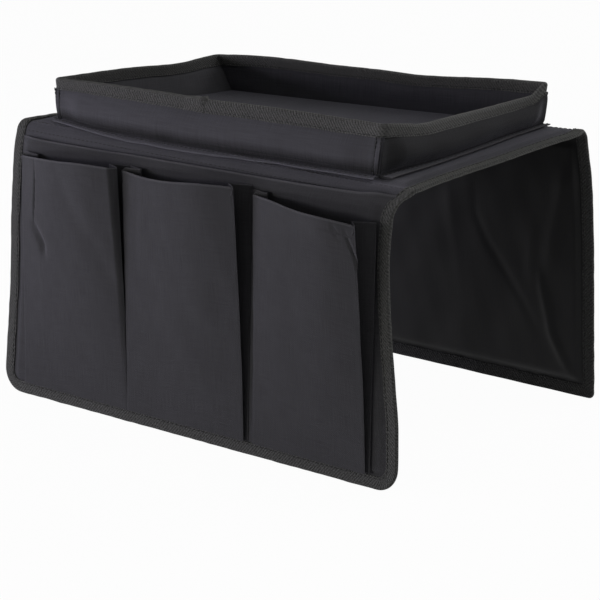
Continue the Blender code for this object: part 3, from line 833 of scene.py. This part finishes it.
# The sleeve's section in mm, outwards and up: the flange's two layers, the outer and the inner side.
WALL_SECTION = ((-0.3, 4.45), (2.4, 4.42), (4.2, 4.45), (4.65, 4.80), (4.2, 5.15), (2.4, 5.05),
                (0.9, 4.95), (0.15, 5.15), (0.0, 6.0), (0.25, 8.5), (0.45, 12.0), (0.35, 17.0),
                (-0.05, 21.5), (-0.65, 24.0), (-1.15, 26.0), (-1.35, 28.5), (-1.40, 31.0), (-1.90, 31.5),
                (-2.40, 31.0), (-2.45, 28.5), (-2.65, 26.0), (-3.15, 24.0), (-3.55, 21.5), (-3.70, 15.0),
                (-3.60, 9.0), (-3.55, 6.5), (-3.50, 4.6))
FLANGE_EDGE = 0.0051        # from the section's start to the flange's cut edge
CORNER_POST = 0.0011        # what each wall leaves free at its ends for the corner's seam
POST_RADIUS = 0.0010
SEAM_LEAN = (0.0030, 0.0008)    # a corner's stitches, in from it at the foot, and how much more above
FLOOR_INSET = 0.0003

# Painted highlight on the flange's cut edge and painted shade in the walls' foot.
tray_cloth = charcoal("tray_cloth", (0.033, 0.0325, 0.0365), (0.064, 0.063, 0.072), 0.20,
                      edge=1.5, painted_foot_shade=1.5)
# The right wall's cloth, painted darker for the shade on that wall, with a stronger painted highlight at the
# flange's edge.
painted_shade_cloth = charcoal("painted_shade_cloth", (0.0165, 0.0164, 0.0171), (0.0315, 0.0312, 0.0324), 0.15,
                      edge=3.2, painted_foot_shade=1.2)
# The left wall's cloth, painted lighter for the light on its inner side.
painted_light_cloth = charcoal("painted_light_cloth", (0.046, 0.0455, 0.0490), (0.086, 0.0850, 0.0920), 0.20,
                      edge=1.0, painted_foot_shade=0.8)
# The tray floor's cloth, painted darker for the shade inside the tray.
floor_cloth = charcoal("floor_cloth", (0.0132, 0.0130, 0.0148), (0.0265, 0.0260, 0.0296), 0.15)


def curve_through(corners, count):
    """Evenly spaced points on a smooth line through the corners."""
    corners = np.array(corners, float)
    ends = np.vstack([2 * corners[0] - corners[1], corners, 2 * corners[-1] - corners[-2]])
    line = []
    for a, b, c, d in zip(ends, ends[1:], ends[2:], ends[3:]):
        for t in np.linspace(0, 1, 12, endpoint=False):
            line.append(0.5 * (2 * b + (c - a) * t + (2 * a - 5 * b + 4 * c - d) * t * t
                               + (3 * b - a - 3 * c + d) * t ** 3))
    line = np.vstack([line, corners[-1:]])
    length = distances(*line.T)
    even = np.linspace(0, length[-1], count)
    return np.stack([np.interp(even, length, line[:, axis]) for axis in range(line.shape[1])], -1)


def tray_side(name, middle, outwards, half_length, bulge, seed, flange_reach=0.0007, wider=(),
              cloth=tray_cloth, seamed=0.0):
    """One sleeve with its flange. seamed sinks the corner stitches, wider carries the flange out."""
    section = curve_through(WALL_SECTION, 100) * MM
    out, up = section.T
    even = np.linspace(-1, 1, 141)
    along = even * (3 - even ** 2) / 2
    flange = np.clip((0.0056 - up) / 0.0008, 0, 1)
    tucked_in = 0.0024 * ramp(up, 0.0235, 0.0258)
    run = along[None] * (half_length + flange_reach * flange - tucked_in)[:, None]
    outside = ramp(out, -0.0019, -0.0009)[:, None]
    belly = (np.sin(pi * np.clip((up - 0.0062) / 0.0215, 0, 1) ** 0.9) ** 1.3)[:, None]
    swell = bulge * belly * ramp(1 - abs(along[None]), 0.035, 0.20)
    dents = 0.0005 * belly * unevenness(run, up[:, None], 0.032, seed)
    out = out[:, None] + (swell + dents) * outside + (0.15 * swell - 0.7 * dents) * (1 - outside)
    foot = np.clip((0.0075 - up) / 0.0025, 0, 1)[:, None] * outside
    out = out - 0.0007 * foot * (1 - flange[:, None])
    seam = half_length - SEAM_LEAN[0] - SEAM_LEAN[1] * np.clip((up[:, None] - 0.006) / 0.019, 0, 1)
    out = out - seamed * np.exp(-((abs(run) - seam) / 0.0006) ** 2) * outside * (1 - flange[:, None])
    out = out + flange[:, None] * 0.00015 * unevenness(run, 0 * run, 0.045, seed + 1)
    edge = np.clip(out / 0.0045, 0, 1)
    lift = flange[:, None] * edge ** 2 * (0.0005 + 0.0002 * unevenness(run, 0 * run, 0.03, seed + 2))
    if wider:
        out = out + flange[:, None] * edge * smooth_line(wider, run / MM) * MM
    points = np.zeros((*out.shape, 3))
    sideways = np.array([-outwards[1], outwards[0]])
    for axis in (0, 1):
        points[..., axis] = middle[axis] + outwards[axis] * out + sideways[axis] * run
    points[..., 2] = up[:, None] + lift
    girth = distances(*section.T)
    piece = sewn("tray_side_" + name, settled(points, True), cloth,
                 weave=(run, girth[:, None] - FLANGE_EDGE + 0 * run))
    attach(piece, "top_tray")
    stands_for(piece, "cloth", "tray_wall_" + name, "tray_flange_" + name)


def tray_corner(name, x, y, place):
    """The upright seam of one corner: the allowance rolled into a soft column."""
    low, high = 0.0050, 0.0256
    rise = np.linspace(0, 1, 28)
    turn = np.linspace(0.12, 2 * pi - 0.12, 25) + (0.25 + 0.5 * place) * pi
    pinch = 1 - 0.07 * np.abs(np.sin(rise * 4.5 * pi))
    radius = (POST_RADIUS * pinch * (1 - 0.30 * ramp(rise, 0.75, 1.0)))[:, None]
    points = np.stack([x + radius * np.cos(turn), y + radius * np.sin(turn),
                       (low + (high - low) * rise)[:, None] + 0 * turn], -1)
    piece = sewn("tray_corner_" + name, settled(points, True), charcoal_cloth, 0.0006)
    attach(piece, "top_tray")
    stands_for(piece, "cloth", "tray_seam_" + name)


tray_middle_y = (TRAY_FRONT + TRAY_BACK) / 2
half_depth = (TRAY_BACK - TRAY_FRONT) / 2
tray_side("front", (0, TRAY_FRONT), (0, -1), TRAY_HALF_X - CORNER_POST, 0.0028, 61, seamed=0.0006)
tray_side("back", (0, TRAY_BACK), (0, 1), TRAY_HALF_X - CORNER_POST, 0.0016, 64, -0.0060, seamed=0.0006)
# The left sleeve's cloth is painted light for the light that falls on it.
tray_side("left", (-TRAY_HALF_X, tray_middle_y), (-1, 0), half_depth - CORNER_POST, 0.0012, 67,
          cloth=painted_light_cloth)
# The right sleeve's cloth is painted dark for the shade on it.
tray_side("right", (TRAY_HALF_X, tray_middle_y), (1, 0), half_depth - CORNER_POST, 0.0038, 70,
          wider=((-77, 5.0), (-60, 4.2), (-40, 2.4), (-15, 0.8), (0, 0.6), (25, 0.8), (77, 0)),
          cloth=painted_shade_cloth)
post_x, post_y = TRAY_HALF_X - 0.0016, half_depth - 0.0014
for place, (name, side_x, side_y) in enumerate((("front_left", -1, -1), ("front_right", 1, -1),
                                                ("back_right", 1, 1), ("back_left", -1, 1))):
    tray_corner(name, side_x * post_x, tray_middle_y + side_y * post_y, place)


def tray_floor():
    low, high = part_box("tray_floor_cover")
    across = np.linspace(-1, 1, 121)[None]
    deep = np.linspace(-1, 1, 81)[:, None]
    middle_y, half_y = (low.y + high.y) / 2, (high.y - low.y) / 2
    x = (low.x + high.x) / 2 + across * ((high.x - low.x) / 2 - FLOOR_INSET) + 0 * deep
    y = middle_y + deep * (half_y - FLOOR_INSET) + 0 * across
    edge = np.minimum(high.x - abs(x), half_y - abs(y - middle_y))
    z = high.z - CLOTH / 2 - 0.0024 * (1 - ramp(edge, 0.0002, 0.0042))
    z = z + 0.00045 * unevenness(x, y, 0.07, 81) * ramp(edge, 0, 0.02)
    # Its cloth is painted darker for the shade inside the tray.
    piece = sewn("tray_floor_cloth", settled(np.stack([x, y, z], -1), True), floor_cloth, weave=(x, y))
    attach(piece, "top_tray")
    stands_for(piece, "cloth", "tray_floor_cover")


tray_floor()


# The rim tape: one length of the same tape folded over the tops of all four walls. Its two ends
# lap over each other at the middle of the front, where they make a small lump. Its right stretch
# is painted lighter, for the light that falls on it there.
# Painted light over the right stretch of the rim.
rim_twill = twill("rim_twill", (0.011, 0.011, 0.0110), (0.099, 0.098, 0.0975),
                  painted_light_stretch=(0.215, 0.105, 0.55))
RIM_TOP = 0.0328
RIM_DEPTH = 0.0078
RIM_ROW = 0.0012            # the stitches, up from the tape's lower edge
RIM_HALF_THICK = 0.00205
RIM_STEP = 0.0025
RIM_CORNER = 0.0030
LAP_X = -0.0105
LAP = 0.012


def rim_line():
    """Round the walls' middle line from the lap and back to it: x, y, outward x and outward y."""
    half_x, half_y = TRAY_HALF_X - WALL / 2, half_depth - WALL / 2
    corners = []
    for at, (side_x, side_y) in enumerate(((1, -1), (1, 1), (-1, 1), (-1, -1))):
        start = -pi / 2 + at * pi / 2
        for turn in np.linspace(start, start + pi / 2, 9):
            corners.append((side_x * (half_x - RIM_CORNER) + RIM_CORNER * cos(turn),
                            side_y * (half_y - RIM_CORNER) + RIM_CORNER * sin(turn), cos(turn), sin(turn)))
    lap_start = (LAP_X - LAP / 2, -half_y, 0, -1)
    lap_end = (LAP_X + LAP / 2, -half_y, 0, -1)
    loop = np.array([lap_start, *corners, lap_end])
    line = []
    for a, b in zip(loop, loop[1:]):
        count = max(1, int(hypot(b[0] - a[0], b[1] - a[1]) / RIM_STEP))
        for t in np.linspace(0, 1, count, endpoint=False):
            line.append(a + (b - a) * t)
    return np.vstack([line, loop[-1:]])


def rim_tape():
    line = rim_line()
    travelled = distances(line[:, 0], line[:, 1])
    fine = unevenness(travelled, 0 * travelled, 0.010, 91)
    wave = unevenness(travelled, 0 * travelled, 0.035, 92)
    to_end = travelled[-1] - travelled
    lapping = ramp(-to_end, -LAP * 1.5, -LAP * 0.9) * (0.25 + 0.75 * ramp(to_end, 0, 0.004))
    lump = np.exp(-((to_end - 0.0028) / 0.0018) ** 2)
    turn = np.linspace(0, pi, 11)
    leg = np.linspace(-RIM_DEPTH, -RIM_HALF_THICK, 8)[:-1]
    hold = 0.00018 * np.exp(-((leg + RIM_DEPTH - RIM_ROW) / 0.0009) ** 2)
    flare = 0.00035 * np.clip((-leg - 0.0055) / 0.002, 0, 1)
    radius = RIM_HALF_THICK - TAPE / 2
    out = np.concatenate([radius - hold + flare, radius * np.cos(turn), -(radius - hold + flare)[::-1]])
    up = np.concatenate([leg, -RIM_HALF_THICK + radius * np.sin(turn), leg[::-1]])
    grow = 0.00062 * lapping[:, None] + 0.0011 * lump[:, None] * ramp(up, -0.0052, -0.0030)[None]
    fatter = 1 + (0.10 * wave + 0.06 * fine)[:, None]
    reach = out[None] * fatter + np.sign(out)[None] * grow
    height = RIM_TOP + up[None] + grow * np.where(up > -0.003, 1, 0.1) + 0.00008 * fine[:, None]
    height = height - 0.00035 * wave[:, None] * np.clip(-up / RIM_DEPTH, 0, 1)[None]
    points = np.stack([line[:, 0, None] + line[:, 2, None] * reach,
                       tray_middle_y + line[:, 1, None] + line[:, 3, None] * reach, height], -1)
    girth = distances(out, up)
    run = np.cumsum(np.vstack([0 * reach[:1], np.linalg.norm(np.diff(points, axis=0), axis=2)]), axis=0)
    piece = sewn("rim_tape", settled(points, True), rim_twill, TAPE,
                 weave=(run, girth[None] - girth[-1] / 2 + 0 * reach))
    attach(piece, "top_tray")
    stands_for(piece, "tape", "tray_rim_binding")


rim_tape()


# The stitches: black polyester thread in a lockstitch about 3 mm long. A row holds down each tape
# edge on both faces, one row runs along each fold, and others hold the flange and the corners.
def black_thread():
    thread = Finish("black_thread", 0.5, specular=0.15)
    fibres = thread.patches(0.0006)
    thread.colour((0.008, 0.008, 0.009), (0.020, 0.020, 0.021), fibres)
    thread.relief(fibres, 0.00004)
    return thread.material


def stitching_tree():
    """Lays a short rounded stitch at even steps along every line."""
    tree = bpy.data.node_groups.new("stitching", "GeometryNodeTree")
    inputs = {"Lines": "Geometry", "Step": "Float", "Length": "Float", "Thickness": "Float",
              "Tilt": "Float", "Seed": "Int", "Thread": "Material"}
    for name, kind in inputs.items():
        tree.interface.new_socket(name, in_out="INPUT", socket_type="NodeSocket" + kind)
    tree.interface.new_socket("Stitches", in_out="OUTPUT", socket_type="NodeSocketGeometry")
    maker = Nodes(tree)
    given = maker.add("NodeGroupInput").socket.node.outputs
    asked = {name: Value(maker, given[name]) for name in inputs}
    spread = maker.add("GeometryNodeCurveToPoints", {"mode": "LENGTH"},
                       {"Curve": asked["Lines"], "Length": asked["Step"]})
    heading = Value(maker, spread.socket.node.outputs["Rotation"])
    bead = maker.add("GeometryNodeMeshUVSphere", (), {"Segments": 6, "Rings": 5, "Radius": 0.5})
    size = maker.add("CombineXYZ", (), dict(enumerate(asked[name] for name in
                                                      ("Thickness", "Thickness", "Length"))))
    low, high = (maker.add("VectorMath", {"operation": "SCALE"}, {0: (side, side, 0), "Scale": asked["Tilt"]})
                 for side in (-1, 1))
    tilt = maker.add("FunctionNodeRandomValue", {"data_type": "FLOAT_VECTOR"},
                     {"Min": low, "Max": high, "Seed": asked["Seed"]})
    made = maker.add("GeometryNodeInstanceOnPoints", (), {"Points": spread, "Instance": bead,
                                                          "Rotation": heading, "Scale": size})
    made = maker.add("GeometryNodeRotateInstances", (), {"Instances": made, "Rotation": tilt})
    for step in ("RealizeInstances", "SetShadeSmooth"):
        made = maker.add("GeometryNode" + step, (), {0: made})
    made = maker.add("GeometryNodeSetMaterial", (), {"Geometry": made, "Material": asked["Thread"]})
    tree.links.new(made.socket, tree.nodes.new("NodeGroupOutput").inputs[0])
    return tree


thread = black_thread()
stitching = stitching_tree()
STITCH_STEP = 0.0036
STITCH = 0.0028
THREAD = 0.00055
THREAD_SUNK = 0.00008       # how deep a stitch's middle lies under the face it is sewn through


def stitches(name, lines, seed, step=STITCH_STEP, length=STITCH, thick=THREAD):
    """One mesh of all the stitches along the lines."""
    curve = bpy.data.curves.new(name, "CURVE")
    curve.dimensions = "3D"
    for line in lines:
        spline = curve.splines.new("POLY")
        spline.points.add(len(line) - 1)
        weighted = np.hstack([line, np.ones((len(line), 1))])
        spline.points.foreach_set("co", weighted.astype(np.float32).ravel())
    guide = bpy.data.objects.new(name + "_lines", curve)
    bpy.context.scene.collection.objects.link(guide)
    maker = guide.modifiers.new("stitching", "NODES")
    maker.node_group = stitching
    sockets = {item.name: item.identifier for item in stitching.interface.items_tree}
    for socket, value in (("Step", step), ("Length", length), ("Thickness", thick), ("Tilt", 0.06),
                          ("Seed", seed), ("Thread", thread)):
        maker[sockets[socket]] = value
    made = bpy.data.meshes.new_from_object(guide.evaluated_get(bpy.context.evaluated_depsgraph_get()))
    bpy.data.objects.remove(guide)
    made.name = name
    piece = bpy.data.objects.new(name, made)
    bpy.context.scene.collection.objects.link(piece)
    return piece


def tape_row(half, path, over):
    """The stitch line along one leg of the edge tape, on the face that over's sign says."""
    x, s, out_x, out_s = path.T
    share = ramp(s, half.fold[1] - 0.002, half.fold[1] + 0.006)
    low, high = over
    height = low * (1 - share) + high * share
    return half.place(*mitred(half, x - out_x * TAPE_ROW, s - out_s * TAPE_ROW, -TAPE_ROW), height)


for half, name, path, flap_over in ((front, "front", front_edge, TAPE_OVER_POCKET),
                                    (back, "back", back_edge, TAPE_UNDER)):
    show = TAPE_UNDER + TAPE - THREAD_SUNK
    rows = [tape_row(half, path, (show, flap_over + TAPE - THREAD_SUNK)),
            tape_row(half, path, (-show, -show))]
    inner = np.linspace(-0.143, 0.143, 90)
    for s in (half.fold[0] + 0.0012, half.fold[1] - 0.0012):
        rows += [half.place(inner, s, SEAM_HEIGHT + CLOTH / 2 - THREAD_SUNK),
                 half.place(inner, s, -SEAM_HEIGHT - CLOTH / 2 - 0.00002)]
    half.bend(stitches("stitches_" + name, rows, 101))


def tray_rows():
    line = rim_line()
    rows = []
    for side in (1, -1):
        reach = side * (RIM_HALF_THICK + 0.00002)
        rows.append(np.stack([line[:, 0] + line[:, 2] * reach,
                              tray_middle_y + line[:, 1] + line[:, 3] * reach,
                              RIM_TOP - RIM_DEPTH + RIM_ROW + 0 * line[:, 0]], -1))
    flange_out, flange_up = 0.0021, 0.0054
    half_x, half_y = TRAY_HALF_X + flange_out, half_depth + flange_out
    for side in (-1, 1):
        run = np.linspace(-half_x + 0.003, half_x - (0.003 if side < 0 else 0.011), 60)
        rows.append(np.stack([run, tray_middle_y + side * half_y + 0 * run, flange_up + 0 * run], -1))
        run = np.linspace(-half_y + 0.003, half_y - 0.003, 40)
        rows.append(np.stack([side * half_x + 0 * run, tray_middle_y + run, flange_up + 0 * run], -1))
    return [settled(row, True) for row in rows]


def corner_rows():
    """On the front and back walls, one row up each end's seam and one close to the corner."""
    rise = np.linspace(0.0062, 0.0250, 14)
    lean = SEAM_LEAN[0] + SEAM_LEAN[1] * np.clip((rise - 0.006) / 0.019, 0, 1)
    rows = []
    for side_x in (-1, 1):
        for side_y in (-1, 1):
            corner_x, corner_y = side_x * TRAY_HALF_X, tray_middle_y + side_y * half_depth
            proud = 0.0002 if side_y < 0 else -0.0002
            for at, inset in enumerate((CORNER_POST + lean, CORNER_POST + 0.1 * lean)):
                inset = inset + 0.0003 * unevenness(rise, 0 * rise, 0.010, 93 + at)
                rows.append(np.stack([corner_x - side_x * inset,
                                      corner_y + side_y * proud + 0 * rise, rise], -1))
    return [settled(row, True) for row in rows]


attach(stitches("stitches_tray", tray_rows(), 102), "top_tray")
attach(stitches("stitches_corners", corner_rows(), 103, step=0.0024, length=0.0024, thick=0.0009),
        "top_tray")


# The studio: a pale floor that touches the hems, three low lamps at the front left, which leave the
# right side dark, a weak lamp high behind, another from the right, and white surroundings that give
# little light of their own.
FLOOR_TOUCH = ((-0.0970, -0.1709), (0.0840, -0.1622))   # where both hems stand, as y and z
SEEN_WHITE = 0.97           # how much of the floor's white the camera sees by itself
SURROUND_LIGHT = 0.15


def seen(finish):
    """1 for what the camera sees directly, in a mirror or through glass."""
    path = finish.add("LightPath").socket.node.outputs
    camera, glossy, through = (Value(finish, path[name]) for name in
                               ("Is Camera Ray", "Is Glossy Ray", "Is Transmission Ray"))
    return camera.maths("MAXIMUM", camera, glossy.maths("MAXIMUM", glossy, through))


def pale_floor():
    (front_y, front_z), (back_y, back_z) = FLOOR_TOUCH
    slope = (back_z - front_z) / (back_y - front_y)
    corners = [(x, y, front_z + (y - front_y) * slope) for x, y in ((-6, -6), (6, -6), (6, 6), (-6, 6))]
    mesh = bpy.data.meshes.new("floor")
    mesh.from_pydata(corners, [], [(0, 1, 2, 3)])
    floor = bpy.data.objects.new("floor", mesh)
    bpy.context.scene.collection.objects.link(floor)
    finish = Finish("pale_floor", 0.9)
    finish.shader.inputs["Base Color"].default_value = (0.86, 0.86, 0.86, 1)
    glow = finish.add("Emission", (), {"Color": (1, 1, 1, 1), "Strength": 1.0})
    matt = Value(finish, finish.shader.outputs[0])
    mixed = finish.add("MixShader", (), {0: seen(finish) * SEEN_WHITE, 1: matt, 2: glow})
    output = finish.tree.nodes["Material Output"]
    finish.tree.links.new(mixed.socket, output.inputs["Surface"])
    floor.data.materials.append(finish.material)


pale_floor()

world = bpy.data.worlds.new("studio")
world.use_nodes = True
bpy.context.scene.world = world
sky = Nodes(world.node_tree)
surround = Value(sky, sky.tree.nodes["Background"].outputs[0])
for socket, value in (("Color", (1, 1, 1, 1)), ("Strength", SURROUND_LIGHT)):
    surround.socket.node.inputs[socket].default_value = value
white = sky.add("Background", (), {"Color": (1, 1, 1, 1), "Strength": 1.0})
blend = sky.add("MixShader", (), {0: seen(sky), 1: surround, 2: white})
sky.tree.links.new(blend.socket, sky.tree.nodes["World Output"].inputs["Surface"])


def lamp(name, place, aim, size, power, colour):
    light = bpy.data.lights.new(name, "AREA")
    light.shape = "RECTANGLE"
    light.size, light.size_y = size
    light.energy, light.color = power, colour
    holder = bpy.data.objects.new(name, light)
    holder.location = place
    holder.rotation_euler = (Vector(aim) - Vector(place)).to_track_quat("-Z", "Y").to_euler()
    bpy.context.scene.collection.objects.link(holder)


lamp("near_lamp", (-0.75, -0.62, 0.09), (-0.02, 0, -0.03), (0.4, 0.2), 3.0, (0.82, 0.785, 1.0))
lamp("front_lamp", (-0.7, -2.3, 0.20), (0, 0, -0.03), (0.8, 0.3), 15, (1.0, 0.985, 0.92))
lamp("table_lamp", (-0.45, -0.68, -0.175), (0, -0.08, 0.0), (0.6, 0.12), 1.5, (0.95, 0.94, 1.0))
lamp("top_lamp", (0.7, 1.1, 1.0), (0, 0, 0), (0.9, 0.9), 6.5, (1.0, 1.0, 1.0))
lamp("side_lamp", (1.2, 0.10, 0.65), (0.1, 0, 0), (0.5, 0.5), 2.1, (1.0, 1.0, 1.0))

# The camera stands where the picture was taken from: a little above the tray, off the front right
# corner, with a long lens.
YAW, PITCH, ROLL = radians(41.9), radians(16.1), radians(-1.3)
CAMERA_PLACE = (1.1275, -1.2596, 0.3812)
FOCAL_PIXELS = 2863
PICTURE_PIXELS = 600
look = Vector((-sin(YAW) * cos(PITCH), cos(YAW) * cos(PITCH), -sin(PITCH)))
level_right = Vector((cos(YAW), sin(YAW), 0))
level_up = level_right.cross(look)
camera_right = level_right * cos(ROLL) + level_up * sin(ROLL)
camera_up = level_up * cos(ROLL) - level_right * sin(ROLL)
lens = bpy.data.cameras.new("camera")
lens.sensor_width = 36
lens.lens = 36 * FOCAL_PIXELS / PICTURE_PIXELS
camera = bpy.data.objects.new("camera", lens)
turned = Matrix((camera_right, camera_up, -look)).transposed()
camera.matrix_world = Matrix.Translation(CAMERA_PLACE) @ turned.to_4x4()
bpy.context.scene.collection.objects.link(camera)
bpy.context.scene.camera = camera
bpy.context.scene.view_settings.view_transform = "Standard"

bpy.context.view_layer.update()
